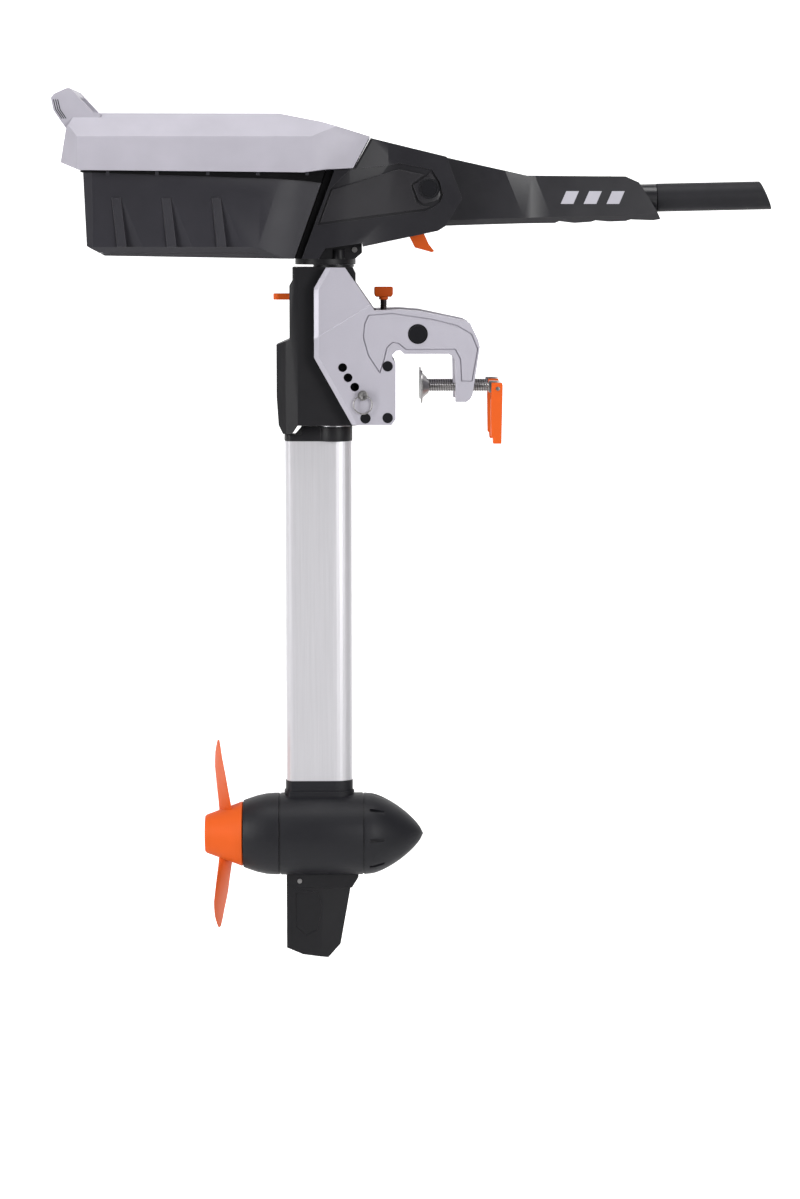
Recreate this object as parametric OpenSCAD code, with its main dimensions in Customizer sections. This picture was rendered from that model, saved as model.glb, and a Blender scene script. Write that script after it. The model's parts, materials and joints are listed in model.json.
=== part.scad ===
/* [Leg] */
// Distance from the transom seat down to the propeller axis
shaft_length = 625; // [560:5:760]
// Front to back size of the flattened leg tube
tube_chord = 85.5; // [84:0.5:87]
// Side to side size of the flattened leg tube
tube_width = 30; // [28:0.5:32]
// Wall of the leg tube
tube_wall = 2.5; // [2:0.1:3.5]

/* [Clamp bracket] */
// Distance between the inner faces of the two side plates
plate_gap = 106; // [104:1:110]
// Thickness of each side plate behind the transom
plate_thick = 14; // [12:1:16]
// Thickness of each side plate over the transom, where the clamp screw sits
leg_thick = 27; // [25:1:28]
// Distance between the two clamp screws
screw_spacing = 107; // [105:1:110]
// Diameter of the pressure pads
pad_dia = 41.7; // [36:0.1:44]
// Diameter of the clamp screws
screw_dia = 10; // [9:0.5:10.5]
// Diameter of the tilt axle
axle_dia = 16; // [14:1:18]
// Distance from the tilt axle to the trim holes
trim_radius = 103.6; // [103:0.1:104]
// Angle between two trim holes
trim_step = 8; // [7:0.5:9]

/* [Steering] */
// Distance of the steering axis behind the seat centre
steer_back = 120; // [119:0.5:121]
// Outer diameter of the steering tube
steer_dia = 42; // [40:1:43]

/* [Battery] */
// Width of the battery lid
lid_w = 210; // [200:1:220]
// Width of the flat top of the lid
lid_top_w = 144; // [130:1:150]
// Width of the battery tub
tub_w = 180; // [174:1:184]

/* [Head and tiller] */
// Width over the two head cheeks
head_w = 124; // [120:1:128]
// Width of the tiller at its hinge
tiller_root_w = 72; // [64:1:76]
// Width of the tiller at the throttle
tiller_tip_w = 56; // [50:1:60]
// Diameter of the throttle grip
grip_dia = 35.6; // [34:0.1:37]

/* [Motor pod] */
// Largest radius of the pod
pod_r = 53.4; // [53:0.1:55]
// Propeller diameter
prop_dia = 247; // [230:1:260]
// Propeller pitch, the distance it would screw forward in one turn
prop_pitch = 140; // [110:5:170]
// Thickness of the skeg
skeg_w = 14; // [12:1:16]

/* [Hidden] */
$fn = 64;

// Gap between pieces of different bodies, and the radial play of a running fit
gap = 0.4;
play = 0.05;
big = 400;

// Side plates of the clamp bracket
plate_in = plate_gap / 2;
plate_out = plate_in + plate_thick;
leg_in = plate_out - leg_thick;
screw_y = screw_spacing / 2;
contact_x = -42;
contact_t = 5;
contact_top = -12;
contact_low = -82;
seat_z = 0;
saddle_top = 8;
axle_x = -14;
axle_z = 25;
axle_cap_dia = 25;
bolt_dia = 8;
bolt_cap_dia = 13;
bolt_points = [[-52, -15.5], [-52, -80.5], [-80, -81]];
spacer_dia = 14;

// Trim holes on an arc about the tilt axle, the pin sits in the last one
trim_first = 24;
trim_holes = 4;
trim_dia = 11.2;
pin_dia = 9.8;
function trim_x(i) = axle_x - trim_radius * cos(trim_first + i * trim_step);
function trim_z(i) = axle_z - trim_radius * sin(trim_first + i * trim_step);
pin_x = trim_x(trim_holes - 1);
pin_z = trim_z(trim_holes - 1);
stop_x = pin_x - pin_dia / 2 - gap;
pin_head_y = -plate_out - 9;
ring_y = pin_head_y + 4.6;
ring_hole = 6;
ring_r = 11.6;
ring_wire = 1.8;

// Clamp screws
screw_z = -42;
pad_x = -10;
pad_t = 2;
cone_len = 8;
screw_end_x = 76;
hub_x0 = 76;
hub_x1 = 95;
rivet_x = 87;
rivet_z = -44;
handle_bottom = -113.5;
hub_w = 10;
fork_w = 19;

// Steering
steer_x = -steer_back;
swivel_top = 108;
swivel_low = -92;
swivel_hw = 39;
boss_hw = leg_in - 2;
bush_t = 3;
neck_z0 = 111.3;
neck_z1 = 118.5;
neck_x = -130.5;
neck_r = 38.5;
lever_z = 70.5;
lever_t = 8;
lever_x = -167;

// Hold-down screw on the swivel arm
rest_x = -56.5;
rest_dia = 9;
rest_knob_z = 70;

// Leg
tube_mid_x = -140.2;
tube_top = -113.5;
prop_z = -shaft_length;
tube_low = prop_z + 71.5;
collar_top = -93.5;
nose_len = 24;
tail_len = 9;

// Motor pod, from the back to the tip of the nose
hub_back = -288.6;
hub_front = -239.7;
rear_x0 = -239;
rear_x1 = -192;
mid_x1 = -82;
shoulder_x = -72;
nose_tip = -5.2;
shaft_dia = 14;
stator_x0 = -182;
stator_x1 = -112;

// Battery
lid_z0 = 226;
lid_z1 = 299;
function lid_low(x) = lid_z0 + 3 * (-156 - x) / 300;
lid_chamfer_z = 270;
tub_z0 = 119;
tub_z1 = 222;
diag = 18.8;
cell_x1 = -218;
rib_h = 7;
rib_slope = 5.2;
rib_pitch = 62;

// Top edge of the tub, from the back to the front
tub_top = [[-434, tub_z1 + 4.2], [-286, tub_z1 - 0.7], [-190, tub_z1 - 4], [-157, tub_z1 - 6.2],
    [-134.9, tub_z1 - 8.7]];

// Head and tiller
cheek_in = head_w / 2 - 16;
pivot_z = 206.5;
trigger_x = -16;
trigger_z = 152.5;
pivot_x = 0;
root_r = 42;
grip_x0 = 289;
grip_z0 = 195.5;
grip_tilt = 1.2;
grip_len = 150;

// A side outline given as [x, z] points, between two values of y
module slab(outline, y0, y1) {
    translate([0, y1, 0])
        rotate([90, 0, 0])
            linear_extrude(height = y1 - y0)
                polygon(outline);
}

// A front outline given as [y, z] points, between two values of x
module slice_x(outline, x0, x1) {
    translate([x0, 0, 0])
        rotate([90, 0, 90])
            linear_extrude(height = x1 - x0)
                polygon(outline);
}

module rod_y(dia, y0, y1, x, z) {
    translate([x, y1, z])
        rotate([90, 0, 0])
            cylinder(d = dia, h = y1 - y0);
}

module rod_x(dia, x0, x1, y, z, dia2 = -1) {
    translate([x0, y, z])
        rotate([0, 90, 0])
            cylinder(d1 = dia, d2 = dia2 < 0 ? dia : dia2, h = x1 - x0);
}

module rod_z(dia, z0, z1, x, y = 0) {
    translate([x, y, z0])
        cylinder(d = dia, h = z1 - z0);
}

module block(x0, x1, y0, y1, z0, z1) {
    translate([x0, y0, z0])
        cube([x1 - x0, y1 - y0, z1 - z0]);
}

// The same thing on both sides of the middle plane
module both_sides() {
    children();
    mirror([0, 1, 0])
        children();
}

// ---------------------------------------------------------------- clamp bracket

plate_outline = [[-129.5, 108], [-105.5, 108], [-68.5, 54.5], [-36, 55.5], [-11, 53.5],
    [46, 41.5], [52, 38], [62, 17], [64, 9], [55, -51], [52, -57], [47, -60.5],
    [34, -60.5], [33, -9], [30, -3], [25, 0], [-31, 0], [-36, 4.5], [-41, 4],
    [-46, -1], [-46, -6], [-42, -12], [-42, -82], [-47, -89.5], [-97, -89.5],
    [-144.5, -5], [-144.5, 82]];

leg_outline = [[-66, 54], [-36, 55.5], [-11, 53.5], [46, 41.5], [52, 38], [62, 17],
    [64, 9], [55, -51], [52, -57], [47, -60.5], [34, -60.5], [33, -9], [30, -3], [25, 0],
    [-31, 0], [-31, 8], [-66, 14]];

panel_outline = [[-69, 50], [-37, 50], [-11, 47.5], [47, 33], [58, 11], [52, -30], [39, -32],
    [36.5, -6], [27, 6.5], [-27, 5.5], [-34, 12], [-42, 14], [-53, 8], [-60, -8],
    [-64, -24], [-72, -8], [-77, 10], [-78, 30], [-75, 42]];

module clamp_plate() {
    difference() {
        union() {
            slab(plate_outline, -plate_out, -plate_in);
            slab(leg_outline, -plate_out, -leg_in);
        }
        // Shallow panel in the outer face
        slab(panel_outline, -plate_out - 1, -plate_out + 1.2);
        // Bevel along the rear edge
        translate([-144.5, -plate_out, 0])
            rotate([0, 0, 45])
                cube([7, 7, 300], center = true);
        rod_y(axle_dia, -plate_out - 1, 0, axle_x, axle_z);
        rod_y(axle_cap_dia + 0.2, -plate_out - 1, -plate_out + 3, axle_x, axle_z);
        for (p = bolt_points) {
            rod_y(bolt_dia, -plate_out - 1, 0, p[0], p[1]);
            rod_y(bolt_cap_dia + 0.2, -plate_out - 1, -plate_out + 3, p[0], p[1]);
        }
        for (i = [0:trim_holes - 2])
            rod_y(trim_dia, -plate_out - 1, 0, trim_x(i), trim_z(i));
        rod_y(pin_dia + 2 * play, -plate_out - 1, 0, pin_x, pin_z);
        rod_x(screw_dia + 2 * play, 0, big, -screw_y, screw_z);
    }
}

module clamp_plate_near() {
    color("#c6c4cc")
        clamp_plate();
}

module clamp_plate_far() {
    color("#c6c4cc")
        mirror([0, 1, 0])
            clamp_plate();
}

module transom_saddle() {
    color("#b9b7c0")
        union() {
            block(-31, 25, -leg_in, leg_in, seat_z, saddle_top);
            difference() {
                block(contact_x - contact_t, contact_x, -plate_in, plate_in,
                    contact_low, contact_top);
                for (p = bolt_points)
                    rod_y(spacer_dia, -plate_in - 1, plate_in + 1, p[0], p[1]);
            }
        }
}

module tilt_axle() {
    color("#8d8f96")
        rod_y(axle_dia, -plate_out + 3, plate_out - 3, axle_x, axle_z);
}

module axle_caps() {
    color("#1b1b20")
        both_sides()
            union() {
                rod_y(axle_cap_dia, -plate_out - 0.5, -plate_out + 3, axle_x, axle_z);
                rod_y(axle_cap_dia - 4, -plate_out - 1.5, -plate_out, axle_x, axle_z);
            }
}

module cross_bolts() {
    color("#8d8f96")
        for (p = bolt_points)
            rod_y(bolt_dia, -plate_out + 3, plate_out - 3, p[0], p[1]);
}

module spacer_tubes() {
    color("#8d8f96")
        for (p = bolt_points)
            difference() {
                rod_y(spacer_dia, -plate_in, plate_in, p[0], p[1]);
                rod_y(bolt_dia, -plate_in - 1, plate_in + 1, p[0], p[1]);
            }
}

module bolt_caps() {
    color("#1b1b20")
        for (p = bolt_points)
            both_sides()
                rod_y(bolt_cap_dia, -plate_out - 0.5, -plate_out + 3, p[0], p[1]);
}

module trim_pin() {
    color("#a9abb2")
        difference() {
            union() {
                rod_y(pin_dia, -plate_out - 1, plate_out + 3, pin_x, pin_z);
                rod_y(pin_dia + 3, pin_head_y, -plate_out - 0.5, pin_x, pin_z);
            }
            rod_x(ring_hole, pin_x - 20, pin_x + 20, ring_y, pin_z);
        }
}

module split_ring() {
    color("#c9cbd2")
        translate([pin_x, ring_y, pin_z - ring_r])
            rotate([90, 0, 0])
                rotate_extrude()
                    translate([ring_r, 0])
                        circle(d = ring_wire, $fn = 24);
}

// ---------------------------------------------------------------- clamp screws

module pressure_pad(y) {
    color("#a9abb2")
        difference() {
            union() {
                rod_x(pad_dia, pad_x, pad_x + pad_t, y, screw_z);
                rod_x(pad_dia * 0.7, pad_x + pad_t, pad_x + pad_t + cone_len, y, screw_z, 15);
            }
            rod_x(screw_dia - 2 + 2 * play, pad_x + pad_t + 1, pad_x + 40, y, screw_z);
        }
}

module clamp_screw(y) {
    color("#8d8f96")
        difference() {
            union() {
                rod_x(screw_dia - 2, pad_x + pad_t + 1 + gap, 4, y, screw_z);
                rod_x(screw_dia, pad_x + pad_t + cone_len + gap, screw_end_x, y, screw_z);
                block(hub_x0, hub_x1 - 3, y - hub_w / 2, y + hub_w / 2, screw_z - 7, screw_z + 7.5);
            }
            rod_y(5, y - 20, y + 20, rivet_x, rivet_z);
        }
    color("#c9cbd2")
        rod_y(5, y - fork_w / 2 - 0.5, y + fork_w / 2 + 0.5, rivet_x, rivet_z);
}

module clamp_handle(y) {
    lever = [[79.3, -36.5], [92.2, -36.5], [93.2, -40], [92.9, -60], [91.8, handle_bottom],
        [81.5, handle_bottom], [81, -106], [79, -105], [78.3, -60]];
    color("#f0702a")
        difference() {
            slab(lever, y - fork_w / 2, y + fork_w / 2);
            block(60, 100, y - hub_w / 2 - gap, y + hub_w / 2 + gap, -58, -20);
            rod_y(5 + 2 * play, y - 20, y + 20, rivet_x, rivet_z);
        }
}

module pressure_pad_near() {
    pressure_pad(-screw_y);
}

module clamp_screw_near() {
    clamp_screw(-screw_y);
}

module clamp_handle_near() {
    clamp_handle(-screw_y);
}

module pressure_pad_far() {
    pressure_pad(screw_y);
}

module clamp_screw_far() {
    clamp_screw(screw_y);
}

module clamp_handle_far() {
    clamp_handle(screw_y);
}

// ---------------------------------------------------------------- swivel bracket

upper_outline = [[-172, swivel_top], [-172, 92], [-176, 85], [-176, 17], [-193, 10],
    [-193, -55], [-190.5, swivel_low], [-185, -103], [-173, -103], [-166, swivel_low],
    [stop_x, swivel_low], [stop_x, -32], [-92, 20], [-92, 100], [-96, swivel_top]];

arm_outline = [[-100, 84], [-86, 56], [-40, 42], [axle_x, axle_z + 16], [axle_x + 12, axle_z],
    [axle_x, 10.5], [-60, 10.5], [-94, -20], [-110, 0]];

module swivel_housing() {
    color("#232328")
        difference() {
            union() {
                intersection() {
                    slab(upper_outline, -swivel_hw, swivel_hw);
                    linear_extrude(height = 2 * big, center = true)
                        polygon([[-193, -20], [-181, -swivel_hw + 6], [-165, -swivel_hw],
                            [-94, -swivel_hw], [stop_x, -32], [stop_x, 32], [-94, swivel_hw],
                            [-165, swivel_hw], [-181, swivel_hw - 6], [-193, 20]]);
                }
                both_sides()
                    slab(arm_outline, -boss_hw, -boss_hw + 13);
                rod_y(32, -boss_hw, boss_hw, axle_x, axle_z);
                block(rest_x - 9, rest_x + 9, -swivel_hw + 1, swivel_hw - 1, 10.5, 36);
            }
            rod_z(steer_dia + 2 * bush_t, -big, big, steer_x);
            rod_y(axle_dia + 6, -plate_in, plate_in, axle_x, axle_z);
            rod_z(rest_dia + 2 * play, 0, 60, rest_x);
            // Slot for the friction lever, and the bore for its pin
            block(-210, -146, -22, 22, lever_z - lever_t / 2 - gap, lever_z + lever_t / 2 + gap);
            rod_z(5, lever_z - 14, lever_z + 14, lever_x);
        }
}

module tilt_bushes() {
    color("#d8d6cf")
        both_sides()
            difference() {
                union() {
                    rod_y(axle_dia + 6, -boss_hw, -boss_hw + 20, axle_x, axle_z);
                    rod_y(axle_dia + 14, -leg_in + gap, -boss_hw, axle_x, axle_z);
                }
                rod_y(axle_dia + 2 * play, -plate_in - 1, 0, axle_x, axle_z);
            }
}

module steering_bush(z0, z1, flange_z, flange_t) {
    difference() {
        union() {
            rod_z(steer_dia + 2 * bush_t, z0, z1, steer_x);
            rod_z(steer_dia + 10, flange_z, flange_z + flange_t, steer_x);
        }
        rod_z(steer_dia + 2 * play, z0 - 5, z1 + 5, steer_x);
    }
}

module steering_bushes() {
    color("#2c2c31") {
        steering_bush(78, swivel_top, swivel_top, neck_z0 - swivel_top - gap);
        steering_bush(swivel_low, -62, swivel_low - 1.2, 1.2);
    }
}

module friction_lever() {
    color("#f0702a")
        difference() {
            union() {
                rod_z(17, lever_z - lever_t / 2, lever_z + lever_t / 2, lever_x);
                block(-191, lever_x, -6, 6, lever_z - lever_t / 2, lever_z + lever_t / 2);
                rod_z(12, lever_z - lever_t / 2, lever_z + lever_t / 2, -191);
            }
            rod_z(5 + 2 * play, 0, big, lever_x);
        }
}

module lever_pin() {
    color("#8d8f96")
        rod_z(5, lever_z - 14, lever_z + 14, lever_x);
}

module rest_shoe() {
    color("#d8d6cf")
        difference() {
            rod_z(14, -8.2, -2, rest_x);
            rod_z(6.2, -5, 0, rest_x);
        }
}

module rest_screw() {
    color("#8d8f96") {
        rod_z(5.8, -4.6, 0, rest_x);
        rod_z(rest_dia, -1.6, rest_knob_z + 2, rest_x);
    }
    color("#f0702a")
        slab([[rest_x - 10, rest_knob_z], [rest_x + 10, rest_knob_z], [rest_x + 12, rest_knob_z + 3],
            [rest_x + 12, rest_knob_z + 13], [rest_x - 12, rest_knob_z + 13],
            [rest_x - 12, rest_knob_z + 3]], -7, 7);
}

// ---------------------------------------------------------------- leg

// Half of the flattened section, grown by e, as points on the +y side and back
function leg_section(e) = let (
        x1 = tube_mid_x + tube_chord / 2 + e,
        x0 = tube_mid_x - tube_chord / 2 - e,
        w = tube_width / 2 + e)
    concat(
        [for (a = [-90:10:90]) [x1 - nose_len + nose_len * cos(a), w * sin(a)]],
        [for (a = [90:15:270]) [x0 + tail_len + tail_len * cos(a), w * sin(a)]]);

module leg_prism(e, z0, z1) {
    translate([0, 0, z0])
        linear_extrude(height = z1 - z0)
            polygon(leg_section(e));
}

module steering_tube() {
    color("#b9b7c0")
        difference() {
            rod_z(steer_dia, tube_top, neck_z1, steer_x);
            rod_z(steer_dia - 6, tube_top - 1, neck_z1 + 1, steer_x);
        }
}

module shaft_tube() {
    color("#d9d8dd")
        difference() {
            leg_prism(0, tube_low, tube_top);
            leg_prism(-tube_wall, tube_low - 1, tube_top + 1);
        }
}

module shaft_collar() {
    color("#232328")
        difference() {
            union() {
                leg_prism(0.8, tube_top, -105);
                intersection() {
                    leg_prism(0.8, tube_top, collar_top - 1.2);
                    block(-162, 0, -50, 50, -120, 0);
                }
                rod_z(steer_dia + 5, tube_top, collar_top - 1.2, steer_x);
            }
            rod_z(steer_dia, -120, 0, steer_x);
        }
}

module steering_neck() {
    color("#232328")
        difference() {
            union() {
                rod_z(2 * neck_r, neck_z0, neck_z1, neck_x);
                slab([[-138.5, neck_z1], [-130.5, 132], [-84, 138.5], [-84, 126], [-93, neck_z1]],
                    -31, 31);
                both_sides()
                    rod_z(15, neck_z1, 130, -113, -31);
            }
            rod_z(steer_dia, 0, 200, steer_x);
        }
}

module leg_screws() {
    color("#c9cbd2") {
        both_sides()
            rod_y(7, -33, -31, -93.3, 130);
        both_sides()
            rod_y(6, -11.5, -10, -166, prop_z - 61);
    }
}

head_outline = [[-159.5, 119.2], [-118, 229.4], [-94.3, 230.7], [-73, 269], [22, 246],
    [41.5, 194], [20.5, 159.5], [11, 153.7], [-83, 134], [-84, 138.5], [-130.5, 132],
    [-138.5, 118.8]];

module head_housing() {
    color("#26262b")
        difference() {
            slab(head_outline, -head_w / 2, head_w / 2);
            // Room for the tiller between the cheeks
            rod_y(2 * root_r + 24, -cheek_in, cheek_in, pivot_x, pivot_z);
            block(pivot_x, 90, -cheek_in, cheek_in, 100, 300);
            block(-44, pivot_x, -cheek_in, cheek_in, pivot_z, 300);
            // Space for the wiring
            block(-105, -62, -cheek_in + 6, cheek_in - 6, 156, 212);
            rod_z(16, 100, 160, steer_x);
            rod_y(12, -100, 100, pivot_x, pivot_z);
            // Seats for the side panels and the round caps
            both_sides() {
                slab(panel_shape, -head_w / 2 - 1, -head_w / 2 + 1.5);
                rod_y(pivot_cap_dia, -head_w / 2 - 1, -head_w / 2 + 1.5, pivot_x, pivot_z);
            }
            // Bearing slot and pin bore for the release trigger
            block(-30, 20, -8, 8, 100, 162);
            rod_y(4 + 2 * play, -13, 13, trigger_x, trigger_z);
            // Seat for the head plug
            block(-160, -111, -22, 22, 158, 182);
        }
}

panel_shape = [[-121, 207], [-37, 232], [-1, 228], [18, 199], [14, 190.5], [2, 182.5],
    [-135, 162]];
pivot_cap_dia = 26.6;

module head_panel() {
    difference() {
        slab(panel_shape, -head_w / 2 - 1.5, -head_w / 2 + 1.5);
        rod_y(pivot_cap_dia, -100, 0, pivot_x, pivot_z);
    }
}

module head_panels() {
    color("#2e2e34")
        both_sides()
            head_panel();
}

module pivot_caps() {
    color("#1b1b20")
        both_sides()
            union() {
                rod_y(pivot_cap_dia, -head_w / 2 - 3, -head_w / 2 + 1.5, pivot_x, pivot_z);
                rod_y(pivot_cap_dia - 6, -head_w / 2 - 4, -head_w / 2, pivot_x, pivot_z);
            }
}

module hinge_pin() {
    color("#8d8f96")
        rod_y(12, -head_w / 2 + 1.5, head_w / 2 - 1.5, pivot_x, pivot_z);
}

module dock_gasket() {
    color("#141418")
        difference() {
            slab([[-168.3, 119.2], [-128.7, 229], [-118.3, 229], [-159.5, 119.2]],
                -head_w / 2 + 1, head_w / 2 - 1);
            block(-180, -100, -25, 25, 110, 240);
        }
}

module head_plug() {
    color("#3a3a40")
        union() {
            block(-131, -111, -22, 22, 158, 182);
            for (y = [-13, 0, 13])
                rod_z(6, 180, 206, -140.5, y);
            block(-146, -130, -20, 20, 176, 182);
        }
}

module power_cable() {
    color("#18181c")
        rod_z(9, prop_z + 50, 158, steer_x);
}

// ---------------------------------------------------------------- motor pod

// Outline of the nose, from the shoulder to the tip
function nose_radius(t) = (pod_r - 1.2) * pow(max(0, 1 - pow(t, 1.35)), 0.73);

module lathe(points) {
    translate([0, 0, prop_z])
        rotate([0, 90, 0])
            rotate_extrude($fn = 96)
                rotate(90)
                    mirror([0, 1])
                        polygon(points);
}

module pod_foot() {
    color("#232328")
        difference() {
            union() {
                leg_prism(0.8, prop_z + 40, tube_low);
                leg_prism(2.6, prop_z + 40, prop_z + 58);
            }
            rod_x(2 * pod_r, -250, 0, 0, prop_z);
            rod_z(12, prop_z, 0, steer_x);
        }
}

module pod_body() {
    color("#232328")
        difference() {
            rod_x(2 * pod_r, rear_x1, mid_x1, 0, prop_z);
            rod_x(2 * pod_r - 10, rear_x1 + 4, -108, 0, prop_z);
            rod_x(2 * pod_r - 10, -98, mid_x1 + 1, 0, prop_z);
            // Bearing seats, at the back wall and at the bulkhead
            rod_x(32, rear_x1 - 1, mid_x1, 0, prop_z);
            rod_z(9, prop_z, prop_z + 60, steer_x);
        }
}

module pod_rear() {
    color("#28282d")
        difference() {
            lathe([[rear_x0, 43.5], [-231, 46.5], [-221, 49.8], [-209, 52.4], [-198, 53.2],
                [rear_x1, 53.2], [rear_x1, 0], [rear_x0, 0]]);
            rod_x(36, rear_x0 - 1, rear_x0 + 12, 0, prop_z);
            rod_x(shaft_dia + 3, rear_x0, rear_x1 + 1, 0, prop_z);
        }
}

module nose_cone() {
    color("#232328")
        difference() {
            lathe(concat([[mid_x1, 0], [mid_x1, pod_r - 0.2], [shoulder_x, pod_r - 1.2]],
                [for (i = [1:16]) [shoulder_x + (nose_tip - shoulder_x) * i / 16,
                    nose_radius(i / 16)]]));
            rod_x(72, mid_x1 - 1, -60, 0, prop_z);
            for (a = [0:45:315])
                translate([0, 0, prop_z])
                    rotate([a, 0, 0])
                        block(-71, -54, -1.6, 1.6, 47, 60);
        }
}

module stator() {
    color("#a5672f")
        difference() {
            rod_x(2 * pod_r - 10, stator_x0, stator_x1, 0, prop_z);
            rod_x(60, stator_x0 - 1, stator_x1 + 1, 0, prop_z);
            rod_z(20, prop_z + 44, prop_z + 60, steer_x);
        }
}

module controller_board() {
    color("#2f6b3c")
        union() {
            rod_x(84, -94, -92, 0, prop_z);
            for (a = [0:60:300])
                translate([0, 0, prop_z])
                    rotate([a, 0, 0])
                        block(-92.5, -84, -6, 6, 18, 32);
        }
}

module bearing(x0, x1) {
    difference() {
        rod_x(32, x0, x1, 0, prop_z);
        rod_x(shaft_dia + 2 * play, x0 - 1, x1 + 1, 0, prop_z);
    }
}

module shaft_bearings() {
    color("#9a9ca3") {
        bearing(rear_x1, rear_x1 + 8);
        bearing(-106, -98);
    }
}

module shaft_seal() {
    color("#101013")
        difference() {
            rod_x(36, rear_x0 + 2, rear_x0 + 11, 0, prop_z);
            rod_x(shaft_dia + 2 * play, rear_x0, rear_x0 + 20, 0, prop_z);
        }
}

module prop_shaft() {
    color("#b9b7c0")
        rod_x(shaft_dia, -280, -97, 0, prop_z);
}

module motor_rotor() {
    color("#7d7f86")
        difference() {
            rod_x(59, stator_x0 + 2, stator_x1 - 2, 0, prop_z);
            rod_x(shaft_dia, stator_x0, stator_x1, 0, prop_z);
        }
}

// Skeg under the pod
module skeg() {
    color("#232328")
        difference() {
            union() {
                slab([[-183, prop_z - 45], [-183, prop_z - 69], [-98, prop_z - 70],
                    [-89.5, prop_z - 56], [-89.5, prop_z - 45]], -10, 10);
                slab([[-183, prop_z - 66], [-183, prop_z - 150], [-162, prop_z - 159],
                    [-129, prop_z - 163.5], [-113, prop_z - 146], [-104, prop_z - 95],
                    [-99, prop_z - 66]], -skeg_w / 2, skeg_w / 2);
            }
            rod_x(2 * pod_r, -250, 0, 0, prop_z);
            both_sides()
                slab([[-171, prop_z - 78], [-143, prop_z - 76], [-137, prop_z - 96],
                    [-143, prop_z - 126], [-158, prop_z - 134], [-171, prop_z - 122]],
                    -skeg_w, -skeg_w / 2 + 1);
        }
}

// ---------------------------------------------------------------- propeller

tip_r = prop_dia / 2;
root_blade_r = 22;
blade_rings = 14;
blade_points = 12;

// Chord, middle, thickness and pitch angle of a blade section at radius r
function span(r) = (r - root_blade_r) / (tip_r - root_blade_r);
function chord(r) = lookup(r, [[22, 26], [35, 31], [60, 47], [85, 63], [95, 61], [105, 52],
    [114, 38], [120, 23], [124, 8]]);
function centre_x(r) = lookup(r, [[22, -261], [35, -262], [60, -265.5], [87, -269],
    [105, -270.5], [124, -270.5]]);
function thickness(r) = 7.5 - 5.6 * span(r);
function pitch_angle(r) = atan(prop_pitch / (2 * PI * r));

// One closed blade section, with the leading edge forward and on the -y side
function blade_section(r) = [for (i = [0:blade_points - 1])
    let (
        a = 360 * i / blade_points,
        u = 0.5 * chord(r) * cos(a),
        v = 0.5 * thickness(r) * sin(a) * (1 - 0.25 * cos(a)),
        p = pitch_angle(r))
    [centre_x(r) + u * sin(p) + v * cos(p),
     -u * cos(p) + v * sin(p),
     sqrt(max(1, r * r - pow(u * cos(p) * 0.55, 2)))]];

module blade() {
    radii = [for (k = [0:blade_rings]) root_blade_r
        + (tip_r - 0.4 - root_blade_r) * (1 - pow(1 - k / blade_rings, 1.4))];
    last = blade_rings * blade_points;
    polyhedron(
        points = [for (r = radii) each blade_section(r)],
        faces = concat(
            [[for (i = [0:blade_points - 1]) i]],
            [for (k = [0:blade_rings - 1], i = [0:blade_points - 1])
                let (j = (i + 1) % blade_points, b = k * blade_points)
                [b + i, b + blade_points + j, b + j]],
            [for (k = [0:blade_rings - 1], i = [0:blade_points - 1])
                let (j = (i + 1) % blade_points, b = k * blade_points)
                [b + i, b + blade_points + i, b + blade_points + j]],
            [[for (i = [blade_points - 1:-1:0]) last + i]]));
}

module propeller() {
    color("#f0702a")
        difference() {
            union() {
                lathe([[hub_back, 0], [hub_back, 23], [hub_back + 2, 25], [hub_front - 1, 42],
                    [hub_front, 41], [hub_front, 0]]);
                for (a = [0, 180])
                    translate([0, 0, prop_z])
                        rotate([a, 0, 0])
                            blade();
            }
            rod_x(shaft_dia, -280, hub_front + 1, 0, prop_z);
        }
}

// ---------------------------------------------------------------- battery

lid_outline = [[-434, lid_low(-434)], [-459, 238.5], [-451, 279.5], [-440, lid_z1], [-187, lid_z1],
    [-134, 288.5], [-74, 270.8], [-95, 231.5], [-128, 229.9], [-156, lid_z0]];

lid_plan = [[-461, -72], [-436, -lid_w / 2], [-147, -lid_w / 2], [-70, -70],
    [-70, 70], [-147, lid_w / 2], [-436, lid_w / 2], [-461, 72]];

lid_front = [[-lid_w / 2, 200], [-lid_w / 2, lid_chamfer_z], [-lid_top_w / 2, lid_z1 + 0.01],
    [lid_top_w / 2, lid_z1 + 0.01], [lid_w / 2, lid_chamfer_z], [lid_w / 2, 200]];

handle_outline = [[-450, 278.5], [-459, 291], [-467, 303], [-470, 318], [-466, 323],
    [-450, 330], [-446, 330], [-437, 320.5], [-419, 301], [-407, 298], [-415, 285]];

bar_outline = [[-470, 318], [-466, 323], [-450, 330], [-446, 330], [-440, 322], [-450, 309],
    [-462, 298], [-467, 303]];

module battery_lid() {
    color("#c9c7cf")
        difference() {
            union() {
                intersection() {
                    slab(lid_outline, -lid_w, lid_w);
                    slice_x(lid_front, -500, 0);
                    linear_extrude(height = big)
                        polygon(lid_plan);
                }
                both_sides()
                    slab(handle_outline, -78, -58);
                slab(bar_outline, -60, 60);
            }
            block(-432, -160, -84, 84, 200, 262);
            slab([[-134.5, 284.2], [-60, 263], [-60, 320], [-134.5, 320]], -17, 17);
        }
}

module lid_strip() {
    color("#1d1d22")
        slab([[-134, 288.8], [-132.5, 289.4], [-77.5, 273.1], [-76, 267.6], [-134, 284.1]],
            -16.5, 16.5);
}

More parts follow.
